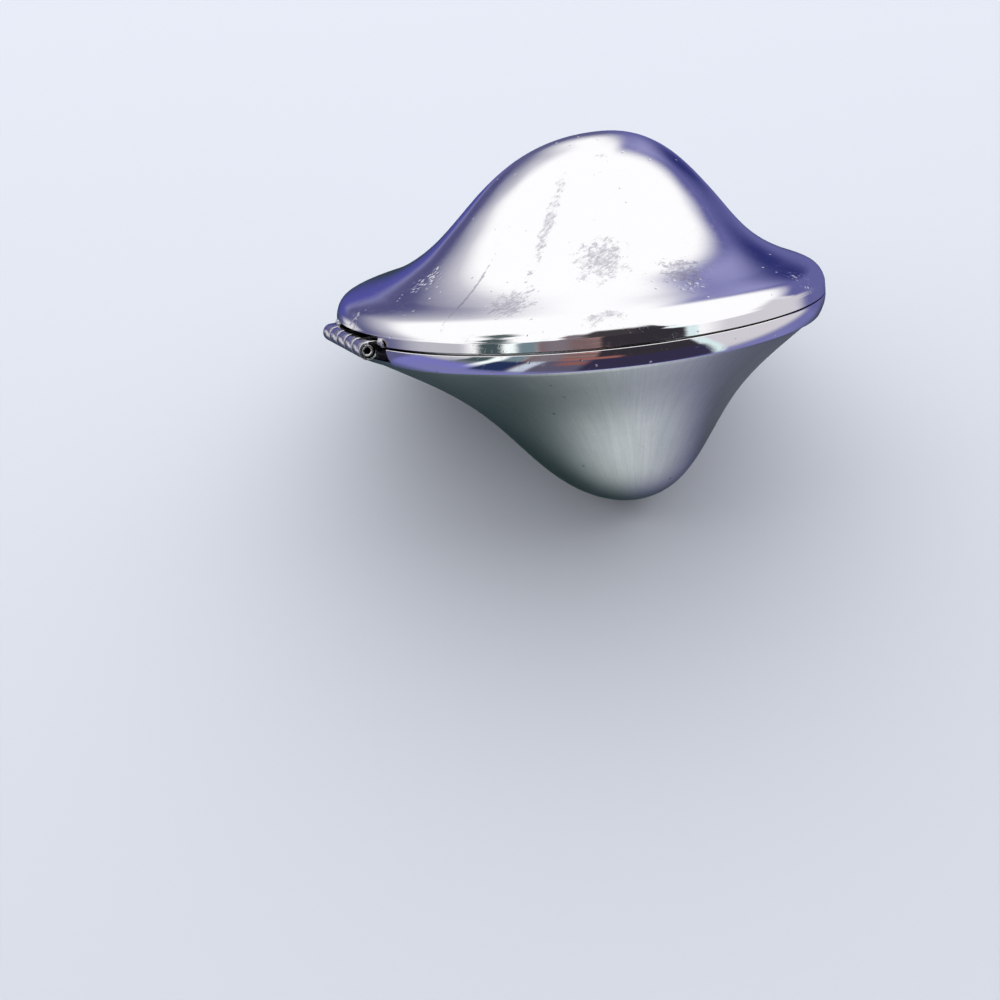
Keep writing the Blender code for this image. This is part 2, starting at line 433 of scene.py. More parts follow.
class Tree:
    """Node tree of a material or of the world."""

    def __init__(self, owner: bpy.types.Material | bpy.types.World) -> None:
        """Turns on the owner's nodes."""
        owner.use_nodes = True
        self.tree = owner.node_tree

    def node(self, kind: str, settings: dict[str, object] | None = None,
             inputs: dict[int | str, object] | None = None) -> bpy.types.Node:
        """Adds a node.

        Args:
            kind: Type of the node.
            settings: Properties, set first.
            inputs: Values, sockets or channels for its inputs, by number or name.

        Returns:
            The node.
        """
        node = self.tree.nodes.new(kind)
        for key, value in (settings or {}).items():
            setattr(node, key, value)
        for key, value in (inputs or {}).items():
            self.feed(node.inputs[key], value)
        return node

    def feed(self, socket: Socket, value: object) -> None:
        """Links a channel or a socket to an input, or sets the input's value.

        Args:
            socket: The input.
            value: A channel, a socket or a plain value.
        """
        source = value.socket if isinstance(value, Channel) else value
        if isinstance(source, Socket):
            self.tree.links.new(source, socket)
        else:
            socket.default_value = source


class Shade(Tree):
    """Node tree of one material."""

    def __init__(self, name: str) -> None:
        """Starts a material with its Principled shader.

        Args:
            name: Name of the material.
        """
        self.material = bpy.data.materials.new(name)
        super().__init__(self.material)
        self.shader = self.tree.nodes["Principled BSDF"]

    def object_mm(self, turn: Triple = (0.0, 0.0, 0.0), stretch: Triple = (1.0, 1.0, 1.0)) -> Socket:
        """Object coordinates in millimetres, turned and then stretched.

        Args:
            turn: Turns about X, Y and Z in radians.
            stretch: Factors along X, Y and Z; a small one draws a pattern out.

        Returns:
            The coordinates.
        """
        where = self.node("ShaderNodeTexCoord").outputs["Object"]
        turned = self.node("ShaderNodeMapping", {}, {"Vector": where, "Rotation": turn})
        size = tuple(factor / MM for factor in stretch)
        return self.node("ShaderNodeMapping", {}, {"Vector": turned.outputs[0], "Scale": size}).outputs[0]

    def grain(self, stretch: Triple) -> Socket:
        """Coordinates that follow the surface, kept with the mesh, stretched."""
        where = self.node("ShaderNodeAttribute", {"attribute_name": "grain"}).outputs["Vector"]
        return self.node("ShaderNodeMapping", {}, {"Vector": where, "Scale": stretch}).outputs[0]

    def noise(self, where: Socket, scale: float, detail: float = 3.0,
              roughness: float = 0.5, distortion: float = 0.0) -> Channel:
        """Fractal noise from 0 to 1.

        Args:
            where: Coordinates.
            scale: Lumps to each unit of length.
            detail: Number of finer layers.
            roughness: Strength of each finer layer.
            distortion: How far the pattern is warped.

        Returns:
            The noise.
        """
        node = self.node("ShaderNodeTexNoise", {}, {
            "Vector": where, "Scale": scale, "Detail": detail,
            "Roughness": roughness, "Distortion": distortion})
        return Channel(self, node.outputs[0])

    def cells(self, where: Socket, scale: float) -> Channel:
        """Distance to the nearest of scattered points, in cells."""
        node = self.node("ShaderNodeTexVoronoi", {}, {"Vector": where, "Scale": scale})
        return Channel(self, node.outputs["Distance"])

    def mix(self, factor: Channel, first: Triple | Socket, second: Triple | Socket) -> Socket:
        """Colour between two colours.

        Args:
            factor: 0 for the first colour, 1 for the second.
            first: Three numbers or a socket.
            second: Three numbers or a socket.

        Returns:
            The mixed colour.
        """
        ends = [(*end, 1.0) if isinstance(end, tuple) else end for end in (first, second)]
        node = self.node("ShaderNodeMix", {"data_type": "RGBA"}, {0: factor, 6: ends[0], 7: ends[1]})
        return node.outputs[2]

    def finish(self, colour: Socket, roughness: Channel, height_mm: Channel) -> bpy.types.Material:
        """Feeds the metal shader.

        Args:
            colour: Colour of the metal.
            roughness: Roughness from 0 to 1.
            height_mm: Relief in millimetres.

        Returns:
            The material.
        """
        self.shader.inputs["Metallic"].default_value = 1.0
        self.feed(self.shader.inputs["Base Color"], colour)
        self.feed(self.shader.inputs["Roughness"], roughness)
        bump = self.node("ShaderNodeBump", {}, {"Strength": 1.0, "Distance": MM, "Height": height_mm})
        self.feed(self.shader.inputs["Normal"], bump.outputs[0])
        return self.material


@dataclass(frozen=True)
class Mark:
    """Worn place on the lid, an ellipsoid of space that its haze fades out in; millimetres."""

    centre: Triple
    radii: Triple
    strength: float
    turn: float = 0.0
    fade: Pair = (0.15, 1.05)

    def mask(self, shade: Shade, place: Socket, ragged: Channel) -> Channel:
        """Strength of the mark, which fades to 0 about its ellipsoid, with a ragged edge.

        The distance from the centre is measured in the ellipsoid's radii.

        Args:
            shade: Material that it is worked out in.
            place: Object coordinates in millimetres.
            ragged: Unevenness that is added to the distance.

        Returns:
            The strength.
        """
        local = shade.node("ShaderNodeMapping", {"vector_type": "TEXTURE"}, {
            "Vector": place, "Location": self.centre,
            "Rotation": (0.0, 0.0, math.radians(self.turn)), "Scale": self.radii})
        length = shade.node("ShaderNodeVectorMath", {"operation": "LENGTH"}, {0: local.outputs[0]})
        distance = Channel(shade, length.outputs["Value"])
        return (1.0 - (distance + ragged).step(*self.fade)) * self.strength


@dataclass(frozen=True)
class PolishedSilver:
    """Mirror polish with haze, fine scratches, small dints and a few worn places."""

    name: str = "polished silver"
    silver: Triple = (0.93, 0.92, 0.92)
    tarnish: Triple = (0.42, 0.41, 0.47)
    roughness: float = 0.05
    haze_share: float = 0.6
    haze_roughness: float = 0.16
    worn_share: float = 0.39
    raggedness: float = 1.8
    bloom_tint: float = 0.8
    speckle_depth: float = 0.004
    wave_depth: float = 0.008
    scratch_depth: float = 0.0016
    scratch_roughness: float = 0.1
    dint_depth: float = 0.05
    dint_roughness: float = 0.4
    rub_depth: float = 0.0042
    scuff_roughness: float = 0.12
    marks: tuple[Mark, ...] = (
        Mark((3.8, -12.8, 45.4), (4.9, 6.8, 6.0), 1.05),
        Mark((-6.8, -17.6, 45.4), (4.8, 6.2, 6.0), 1.05),
        Mark((12.5, -16.6, 45.7), (3.9, 5.4, 5.0), 1.2),
        Mark((2.8, -24.8, 49.7), (4.6, 1.8, 3.0), 0.95),
        Mark((-1.1, -4.2, 44.0), (12.5, 1.5, 5.0), 1.0, 69.8),
        Mark((-11.3, -12.4, 42.4), (12.5, 0.34, 7.0), 1.2, 62.4),
        Mark((6.0, 4.8, 44.2), (1.6, 1.1, 2.0), 0.85),
    )
    chips: tuple[Mark, ...] = (
        Mark((-16.6, -4.4, 36.0), (2.8, 3.2, 3.4), 1.2),
        Mark((-14.7, -2.5, 35.9), (1.3, 1.6, 1.8), 0.9),
        Mark((-25.2, -6.6, 34.0), (2.2, 2.4, 2.6), 1.0),
        Mark((26.0, -16.8, 42.6), (2.2, 2.0, 2.2), 1.0),
        Mark((13.0, -19.8, 47.1), (1.6, 1.8, 2.0), 0.8),
    )

    def material(self) -> bpy.types.Material:
        """Builds the finish.

        Returns:
            The material.
        """
        shade = Shade(self.name)
        place = shade.object_mm()
        haze = shade.noise(place, 0.09, 2.0).step(0.56, 0.78) * self.haze_share
        ragged = (shade.noise(place, 0.8, 3.0, 0.7) - 0.5) * self.raggedness
        worn = sum((mark.mask(shade, place, ragged) for mark in self.marks), haze)
        first, *others = (mark.mask(shade, place, ragged) for mark in self.chips)
        chipped = sum(others, first)
        streaked = shade.object_mm((0.3, 0.2, 0.9), (1.0, 0.45, 1.0))
        speckle = shade.noise(streaked, 2.6, 6.0, 0.85, 0.35)
        bloom = (worn * self.worn_share + speckle).step(0.75, 0.99)
        rubbed = shade.noise(shade.grain((4.0, 4.0, 2.2)), 1.0, 5.0, 0.75)
        dinted = self.dints(shade, place, 0.62, 0.15) * shade.noise(place, 0.33, 2.0).step(0.46, 0.58)
        dinted = dinted + self.dints(shade, place, 1.5, 0.62) * chipped
        scuffed = shade.noise(shade.grain((18.0, 18.0, 1.1)), 1.0, 3.0, 0.7).step(0.50, 0.74)
        scratch = self.scratches(shade, (0.3, 0.5, 0.2), 0.004)
        scratch = scratch + self.scratches(shade, (1.1, 0.2, 1.4), 0.003)
        waves = shade.noise(place, 0.13, 1.0) * self.wave_depth
        height = (waves - scratch * self.scratch_depth - dinted * self.dint_depth
                  + speckle * bloom * self.speckle_depth + rubbed * self.rub_depth)
        colour = shade.mix(bloom * self.bloom_tint, self.silver, self.tarnish)
        rough = (bloom * self.haze_roughness + scratch * self.scratch_roughness
                 + dinted * self.dint_roughness + scuffed * self.scuff_roughness + self.roughness)
        return shade.finish(colour, rough, height)

    def dints(self, shade: Shade, place: Socket, scale: float, size: float) -> Channel:
        """Small hollows of uneven size at scattered points."""
        uneven = shade.noise(place, 2.2, 2.0)
        return 1.0 - (shade.cells(place, scale) + uneven * size).step(0.55 * size, 1.35 * size)

    def scratches(self, shade: Shade, turn: Triple, width: float) -> Channel:
        """Thin lines where a stretched noise crosses its middle value.

        Args:
            shade: Material that they are worked out in.
            turn: Turns about X, Y and Z that set the way the lines run.
            width: How far from the middle value a line reaches.

        Returns:
            1 on a line and 0 off it.
        """
        noise = shade.noise(shade.object_mm(turn, (0.05, 1.0, 1.0)), 0.9, 1.0, 0.4, 0.2)
        line = 1.0 - abs(noise - 0.5).step(0.0, width)
        sparse = shade.noise(shade.object_mm(turn, (0.1, 0.4, 0.4)), 0.8, 1.0).step(0.52, 0.6)
        return line * sparse


@dataclass(frozen=True)
class SatinSilver:
    """Soft grey satin, brushed along the meridians."""

    name: str = "satin silver"
    light: Triple = (0.70, 0.71, 0.71)
    dull: Triple = (0.54, 0.55, 0.56)
    pit: Triple = (0.14, 0.14, 0.15)
    roughness: float = 0.24
    streak_depth: float = 0.012
    pit_depth: float = 0.03

    def material(self) -> bpy.types.Material:
        """Builds the finish.

        Returns:
            The material.
        """
        shade = Shade(self.name)
        place = shade.object_mm()
        fine = shade.noise(shade.grain((120.0, 120.0, 0.12)), 1.0, 3.0, 0.65)
        broad = shade.noise(shade.grain((22.0, 22.0, 0.06)), 1.0, 2.0, 0.5)
        mottle = shade.noise(place, 0.35, 4.0, 0.6)
        pits = 1.0 - shade.cells(place, 0.27).step(0.03, 0.08)
        pitted = pits * shade.noise(place, 0.17, 1.0).step(0.46, 0.56)
        grit = shade.noise(place, 5.5, 2.0, 0.6).step(0.50, 0.80)
        dull = (fine * 0.9 + broad * 0.4 + mottle * 0.4 + grit * 0.4).step(0.45, 1.35)
        colour = shade.mix(pitted, shade.mix(dull, self.light, self.dull), self.pit)
        rough = broad * 0.08 + fine * 0.06 + self.roughness
        return shade.finish(colour, rough, fine * self.streak_depth - pitted * self.pit_depth)


@dataclass(frozen=True)
class SolderedSilver:
    """Rubbed silver with the slight unevenness of flowed solder."""

    name: str = "soldered silver"
    bright: Triple = (0.86, 0.85, 0.84)
    dark: Triple = (0.30, 0.28, 0.27)
    roughness: float = 0.14
    lump_depth: float = 0.05

    def material(self) -> bpy.types.Material:
        """Builds the finish.

        Returns:
            The material.
        """
        shade = Shade(self.name)
        place = shade.object_mm()
        lumps = shade.noise(place, 1.1, 3.0, 0.6)
        grime = shade.noise(place, 2.3, 4.0, 0.6).step(0.5, 0.7)
        colour = shade.mix(grime * 0.6, self.bright, self.dark)
        return shade.finish(colour, grime * 0.25 + self.roughness, lumps * self.lump_depth)


@dataclass(frozen=True)
class GrimeAndShadeSilver:
    """Near-black finish of the hinge's notches, the knuckles' bores and the leaves' end faces: partly
    tarnish that no cloth reaches, partly painted shade of these recesses and hidden faces.
    """

    name: str = "grime and shade silver"
    # Painted shade: this near-black colour stands for the shade in the recesses as well as for their
    # tarnish.
    dark: Triple = (0.035, 0.033, 0.032)
    worn: Triple = (0.20, 0.20, 0.21)
    roughness: float = 0.42

    def material(self) -> bpy.types.Material:
        """Builds the finish.

        Returns:
            The material.
        """
        shade = Shade(self.name)
        place = shade.object_mm()
        rubbed = shade.noise(place, 1.7, 4.0, 0.6).step(0.46, 0.72)
        colour = shade.mix(rubbed, self.dark, self.worn)
        return shade.finish(colour, self.roughness - rubbed * 0.1, rubbed * 0.03)


@dataclass
class Finishes:
    """The materials of the box, made once."""

    polished: bpy.types.Material
    satin: bpy.types.Material
    soldered: bpy.types.Material
    bead: bpy.types.Material
    grime_and_shade: bpy.types.Material

    @classmethod
    def make(cls) -> Finishes:
        """Builds every finish.

        Returns:
            The finishes.
        """
        bead = SolderedSilver("solder bead", (0.97, 0.97, 0.96), (0.66, 0.65, 0.64), 0.40, 0.14)
        return cls(PolishedSilver().material(), SatinSilver().material(), SolderedSilver().material(),
                   bead.material(), GrimeAndShadeSilver().material())


def bezier(controls: tuple[Pair, ...], along: Array) -> Array:
    """Points of a curve: its control points blended with Bernstein weights.

    Args:
        controls: Control points.
        along: How far along the curve each point is, from 0 to 1.

    Returns:
        Points, two numbers a row.
    """
    degree = len(controls) - 1
    weights = [math.comb(degree, k) * along ** k * (1.0 - along) ** (degree - k) for k in range(degree + 1)]
    return np.stack(weights, 1) @ np.array(controls)


def bridge(start: Array, start_pull: Array, end: Array, end_pull: Array, steps: int) -> list[Array]:
    """Smooth cubic between two rings, blended from four control rings.

    Args:
        start: First ring.
        start_pull: Way from the first ring to the second control ring.
        end: Last ring.
        end_pull: Way from the third control ring to the last ring.
        steps: Number of rings between the two.

    Returns:
        The rings between the two.
    """
    rings = []
    for t in np.linspace(0.0, 1.0, steps + 2)[1:-1]:
        weights = ((1 - t) ** 3, 3 * t * (1 - t) ** 2, 3 * t * t * (1 - t), t ** 3)
        corners = (start, start + start_pull, end - end_pull, end)
        rings.append(sum(weight * corner for weight, corner in zip(weights, corners)))
    return rings


def grain_of(grid: Array, angles: Array) -> Array:
    """Vectors that patterns follow, round the box and down its profile.

    Args:
        grid: Points, rings by columns by 3.
        angles: Plan angles of the columns.

    Returns:
        For each point the cosine and the sine of the plan angle, and the distance along the
        profile in millimetres.
    """
    lengths = np.linalg.norm(np.diff(grid, axis=0, prepend=grid[:1]), axis=2).cumsum(axis=0) / MM
    around = np.broadcast_to(angles, lengths.shape)
    return np.stack([np.cos(around), np.sin(around), lengths], 2)


@dataclass
class Maker:
    """Makes pieces from grids of points, with what all pieces share."""

    sizes: BoxSizes
    place: UprightFrame
    finishes: Finishes

    def make(self, name: str, grid: Array, capped: bool, body: Body, slot: Slot,
             materials: tuple[bpy.types.Material, ...], nodes: tuple[str, ...] = (),
             finish: Array | None = None, grain: Array | None = None) -> None:
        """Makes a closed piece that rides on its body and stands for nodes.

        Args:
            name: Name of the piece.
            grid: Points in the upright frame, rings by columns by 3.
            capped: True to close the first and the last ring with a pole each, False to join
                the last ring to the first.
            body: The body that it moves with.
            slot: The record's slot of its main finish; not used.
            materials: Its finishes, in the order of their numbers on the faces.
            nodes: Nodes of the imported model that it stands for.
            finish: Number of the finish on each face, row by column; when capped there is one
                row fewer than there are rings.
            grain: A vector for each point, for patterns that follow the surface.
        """
        rows, columns = grid.shape[:2]
        points = grid.reshape(-1, 3)
        faces = Weave.faces(rows, columns, not capped)
        finishes = np.zeros(len(faces), np.int32) if finish is None else finish.astype(np.int32).ravel()
        vectors = None if grain is None else grain.reshape(-1, 3)
        if capped:
            first = np.arange(columns)
            last = first + (rows - 1) * columns
            pole = np.full(columns, len(points))
            start = np.stack([np.roll(first, -1), first, pole, pole], 1)
            end = np.stack([last, np.roll(last, -1), pole + 1, pole + 1], 1)
            points = np.vstack([points, grid[0].mean(0), grid[-1].mean(0)])
            faces = np.vstack([faces, start, end])
            finishes = np.concatenate([finishes, finishes[:columns], finishes[-columns:]])
            if vectors is not None:
                vectors = np.vstack([vectors, grain[0].mean(0), grain[-1].mean(0)])
        if Weave.volume(points, faces) < 0.0:
            faces = faces[:, ::-1]
        corners = [tuple(dict.fromkeys(face)) for face in faces.tolist()]
        mesh = bpy.data.meshes.new(name)
        mesh.from_pydata(self.place.place(points).tolist(), [], corners)
        mesh.polygons.foreach_set("material_index", finishes)
        if vectors is not None:
            attribute = mesh.attributes.new("grain", "FLOAT_VECTOR", "POINT")
            attribute.data.foreach_set("vector", vectors.astype(np.float32).ravel())
        mesh.shade_smooth()
        mesh.set_sharp_from_angle(angle=SHARP_ANGLE)
        mesh.update()
        for material in materials:
            mesh.materials.append(material)
        item = put(name, mesh)
        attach(item, body.value)
        if nodes:
            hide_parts(*nodes)
        LOG.info("%s: %d faces on %s", name, len(mesh.polygons), body.value)


@dataclass
class Lid(Maker):
    """Domed lid, one skin from the crown over the rolled rim into the dome's inside."""

    outline_shares: tuple[Pair, ...] = (
        (0.0, 1.0), (0.13, 1.0), (0.43, 0.98), (0.54, 0.50), (0.63, 0.23), (0.74, 0.12), (1.0, 0.0))
    dome_rings: int = 110
    inner_rings: int = 60
    bridge_start_share: float = 0.93
    bridge_end_turn: float = math.radians(46.0)
    bridge_pull: float = 0.9 * MM
    bridge_rings: int = 9
    roll_rings: int = 18
    wall_rings: int = 15
    roll_step: float = 0.02
    notch_lift: float = 0.25 * MM
    waves: tuple[tuple[float, int, float, float], ...] = (
        (0.045 * MM, 3, 1.2, 0.4), (0.030 * MM, 5, 2.3, 2.1), (0.016 * MM, 9, 3.1, 4.0),
        (0.008 * MM, 16, 5.2, 1.3))

    @property
    def half_notch(self) -> float:
        """Half the length of the notch behind the hinge."""
        return self.sizes.barrel_length / 2.0 + self.sizes.lid_notch_end

    @property
    def notch_top(self) -> float:
        """Height of the notch's ceiling."""
        return self.sizes.notch_half_height - self.sizes.axis_drop + self.notch_lift

    def dome(self, angles: Array, count: int) -> Array:
        """Rings of the dome, down to where the bridge to the roll starts.

        Args:
            angles: Plan angles of the columns.
            count: Number of rings.

        Returns:
            Points, rings by columns by 3.
        """
        edge = self.sizes.lid_edge
        return self.sizes.shell(self.outline_shares, angles, count, self.bridge_start_share, edge,
                                self.sizes.lid_height - edge)

    def roll(self, angles: Array, turn: float) -> Array:
        """Ring on the rolled rim, a circle's arc that starts upright.

        Args:
            angles: Plan angles of the columns.
            turn: How far up the arc the ring is, in radians.

        Returns:
            Points, one row a column.
        """
        radius = self.sizes.roll_radius
        height = self.sizes.roll_top - radius + radius * math.sin(turn)
        return self.sizes.plan.rim(angles, radius * (1.0 - math.cos(turn)), height)

    def wall(self, angles: Array) -> list[Array]:
        """Rings down the outer wall.

        Behind the hinge they run level into the notch and then down its wall.

        Args:
            angles: Plan angles of the columns.

        Returns:
            The rings, from the notch's ceiling to the lower edge.
        """
        sizes = self.sizes
        top = self.notch_top
        foot = sizes.half_seam(angles)
        outer = sizes.plan.rim(angles, 0.0, top)
        in_notch = sizes.plan.in_notch(angles, self.half_notch)
        depth = np.maximum(sizes.notch_wall_x - outer[:, 0], 0.0)
        rings = []
        for share in np.linspace(0.0, 1.0, self.wall_rings):
            ring = sizes.plan.rim(angles, 0.0, top + (foot + sizes.edge_round - top) * share)
            way = share * (depth + top - foot)
            notch = np.column_stack([
                outer[:, 0] + np.minimum(way, depth), outer[:, 1], top - np.maximum(way - depth, 0.0)])
            rings.append(np.where(in_notch[:, None], notch, ring))
        foot_ring = sizes.plan.rim(angles, sizes.edge_round, foot)
        sunk = np.column_stack([np.full(len(angles), sizes.notch_wall_x), outer[:, 1], foot])
        inner = np.column_stack([sunk[:, 0] + sizes.edge_round, sunk[:, 1:]])
        rings[-1] = np.where(in_notch[:, None], sunk, rings[-1])
        rings.append(np.where(in_notch[:, None], inner, foot_ring))
        return rings

    def unevenness(self, grid: Array, angles: Array) -> Array:
        """Slight waves of raised metal, along the surface's normals.

        The waves are sines round the dome times sines down it. They fade to nothing at both
        ends of the rings.

        Args:
            grid: Points, rings by columns by 3.
            angles: Plan angles of the columns.

        Returns:
            The moved points.
        """
        down = np.linspace(0.0, 1.0, len(grid))[:, None]
        fade = np.sin(math.pi * down) ** 2
        waves = sum(size * np.sin(turns * angles + shift) * np.sin(math.tau * cycles * down + shift)
                    for size, turns, cycles, shift in self.waves)
        return grid + (fade * waves)[..., None] * Weave.upward(grid)

    def grid(self, angles: Array) -> tuple[Array, int, int]:
        """All rings of the skin, from the crown down the outside and back up the inside.

        Args:
            angles: Plan angles of the columns.

        Returns:
            Points, the number of the wall's first ring, and how many rings lie outside.
        """
        sizes = self.sizes
        outside = self.unevenness(self.dome(angles, self.dome_rings), angles)
        end = self.roll(angles, self.bridge_end_turn)
        before_end = self.roll(angles, self.bridge_end_turn + self.roll_step)
        leave, arrive = (self.bridge_pull / np.linalg.norm(way, axis=1)[:, None] * way
                         for way in (outside[-1] - outside[-2], end - before_end))
        first_wall = math.asin((self.notch_top - sizes.roll_top + sizes.roll_radius) / sizes.roll_radius)
        turns = np.linspace(self.bridge_end_turn, first_wall, self.roll_rings)[:-1]
        upper = [*outside, *bridge(outside[-1], leave, end, arrive, self.bridge_rings),
                 *(self.roll(angles, turn) for turn in turns)]
        outer = [*upper, *self.wall(angles)]
        ledge_top = sizes.lid_edge - sizes.wall - sizes.seat_gap
        ledge = sizes.plan.rims(
            angles, (sizes.ledge_reach, sizes.half_seam(angles)), (sizes.ledge_reach, ledge_top))
        domed = self.dome(angles, self.inner_rings)
        inner = domed - sizes.wall * Weave.upward(domed)
        return np.array([*outer, *ledge, *inner[::-1]]), len(upper), len(outer)

    def build(self) -> None:
        """Makes the lid."""
        plan = self.sizes.plan
        angles = plan.angles(self.half_notch)
        grid, wall, outer = self.grid(angles)
        finish = np.zeros((len(grid) - 1, len(angles)), int)
        finish[outer:] = 1
        in_notch = plan.in_notch(angles, self.half_notch)
        # Painted shade: the walls of the notch behind the hinge take the near-black finish, for the shade of
        # that recess as well as grime.
        finish[wall:outer - 1, in_notch | np.roll(in_notch, -1)] = 2
        looks = (self.finishes.polished, self.finishes.satin, self.finishes.grime_and_shade)
        self.make("silver_lid", grid, True, Body.LID, Slot.POLISHED, looks, ("lid_shell", "lid_rim_ring"),
                  finish, grain_of(grid, angles))


@dataclass
class Base(Maker):
    """Lower half: the pointed bowl, the band round its edge and the collar inside it."""

    outline_shares: tuple[Pair, ...] = (
        (0.0, 1.0), (0.08, 1.0), (0.36, 0.97), (0.45, 0.60), (0.46, 0.43), (0.74, 0.23), (1.0, 0.0))
    bowl_rings: int = 120
    inner_rings: int = 60
    collar_wall: float = 0.6 * MM
    collar_rise: float = 1.5 * MM
    collar_sink: float = 1.6 * MM
    collar_rings: int = 9
    cove_in_share: float = 0.5
    cove_down_share: float = 0.4
    notch_rings: int = 15
    under_notch_rings: int = 9
    edge_share: float = 0.6

    def bowl_grid(self, angles: Array, count: int) -> Array:
        """Rings of the bowl, from its tip to its edge."""
        edge = self.sizes.band_height + self.sizes.flare_drop
        return self.sizes.shell(self.outline_shares, angles, count, 1.0, -edge, edge - self.sizes.base_depth)

    def bowl(self) -> None:
        """Makes the satin bowl, its edge coved out to the underside of the band."""
        sizes = self.sizes
        angles = even_turns(sizes.plan.columns)
        outer = self.bowl_grid(angles, self.bowl_rings)
        cove = sizes.plan.rims(
            angles, (sizes.seat - self.cove_in_share * sizes.seat_gap,
                     -(sizes.band_height + self.cove_down_share * sizes.flare_drop)),
            (sizes.rim_wall, -sizes.band_height))
        inside = self.bowl_grid(angles, self.inner_rings)
        inner = inside + sizes.wall * Weave.upward(inside)
        grid = np.array([*outer, *cove, *inner[::-1]])
        self.make("silver_bowl", grid, True, Body.BASE, Slot.SATIN, (self.finishes.satin,),
                  ("base_shell",), None, grain_of(grid, angles))

    def band(self) -> None:
        """Makes the band, with its notch behind the hinge and a crisp lower edge."""
        sizes = self.sizes
        half_notch = sizes.barrel_length / 2.0 + sizes.base_notch_end
        angles = sizes.plan.angles(half_notch)
        top = -sizes.half_seam(angles)
        floor = -sizes.axis_drop - sizes.notch_half_height
        outer = sizes.plan.rim(angles, 0.0, top)
        in_notch = sizes.plan.in_notch(angles, half_notch) & (outer[:, 0] < sizes.notch_wall_x)
        ledge, edge = sizes.plan.rims(angles, (sizes.ledge_reach, top), (sizes.edge_round, top))
        sunk = np.column_stack([
            np.full(len(angles), sizes.notch_wall_x + sizes.edge_round), outer[:, 1], top])
        rings = [ledge, np.where(in_notch[:, None], sunk, edge)]
        depth = np.maximum(sizes.notch_wall_x - self.side(angles, floor)[:, 0], 0.0)
        for share in np.linspace(0.0, 1.0, self.notch_rings):
            ring = self.side(angles, top - sizes.edge_round + (floor - top + sizes.edge_round) * share)
            way = share * (top - floor + depth)
            notch = np.column_stack([
                sizes.notch_wall_x - np.maximum(way - (top - floor), 0.0), ring[:, 1],
                top - np.minimum(way, top - floor)])
            rings.append(np.where(in_notch[:, None], notch, ring))
        rounding = self.edge_share * sizes.edge_round
        for height in np.linspace(floor, -sizes.band_height + rounding, self.under_notch_rings)[1:]:
            rings.append(self.side(angles, height))
        under = -sizes.band_height - sizes.flare_drop + sizes.wall + sizes.seat_gap
        rings += sizes.plan.rims(
            angles,
            *((sizes.band_taper + rounding * (1.0 - math.cos(turn)),
               -sizes.band_height + rounding * (1.0 - math.sin(turn))) for turn in EDGE_TURNS[1:]),
            (sizes.rim_wall, -sizes.band_height), (sizes.rim_wall, under), (sizes.ledge_reach, under))
        grid = np.array(rings)
        finish = np.zeros((len(grid), len(angles)), int)
        # Painted shade: the faces of the notch behind the hinge take the near-black finish, for the shade of
        # that recess as well as grime.
        finish[1:self.notch_rings + 2, in_notch | np.roll(in_notch, -1)] = 1
        self.make("silver_band", grid, False, Body.BASE, Slot.POLISHED,
                  (self.finishes.polished, self.finishes.grime_and_shade), ("base_rim_ring",), finish)

    def side(self, angles: Array, height: float | Array) -> Array:
        """Ring on the band's side, whose inset grows with the square of the depth."""
        inset = self.sizes.band_taper * (height / self.sizes.band_height) ** 2
        return self.sizes.plan.rim(angles, inset, height)

    def collar(self) -> None:
        """Makes the thin collar that rises inside the rims, its upper edge rounded."""
        sizes = self.sizes
        angles = even_turns(sizes.plan.columns)
        outer = sizes.ledge_reach + sizes.seat_gap
        radius = self.collar_wall / 2.0
        grid = np.array(sizes.plan.rims(
            angles, (outer, -self.collar_sink),
            *((outer + radius * (1.0 - math.cos(turn)), self.collar_rise - radius + radius * math.sin(turn))
              for turn in np.linspace(0.0, math.pi, self.collar_rings)),
            (outer + self.collar_wall, -self.collar_sink)))
        self.make("silver_collar", grid, False, Body.BASE, Slot.SATIN, (self.finishes.satin,),
                  ("closing_bezel",), None, grain_of(grid, angles))

    def build(self) -> None:
        """Makes the three pieces of the lower half."""
        self.bowl()
        self.band()
        self.collar()


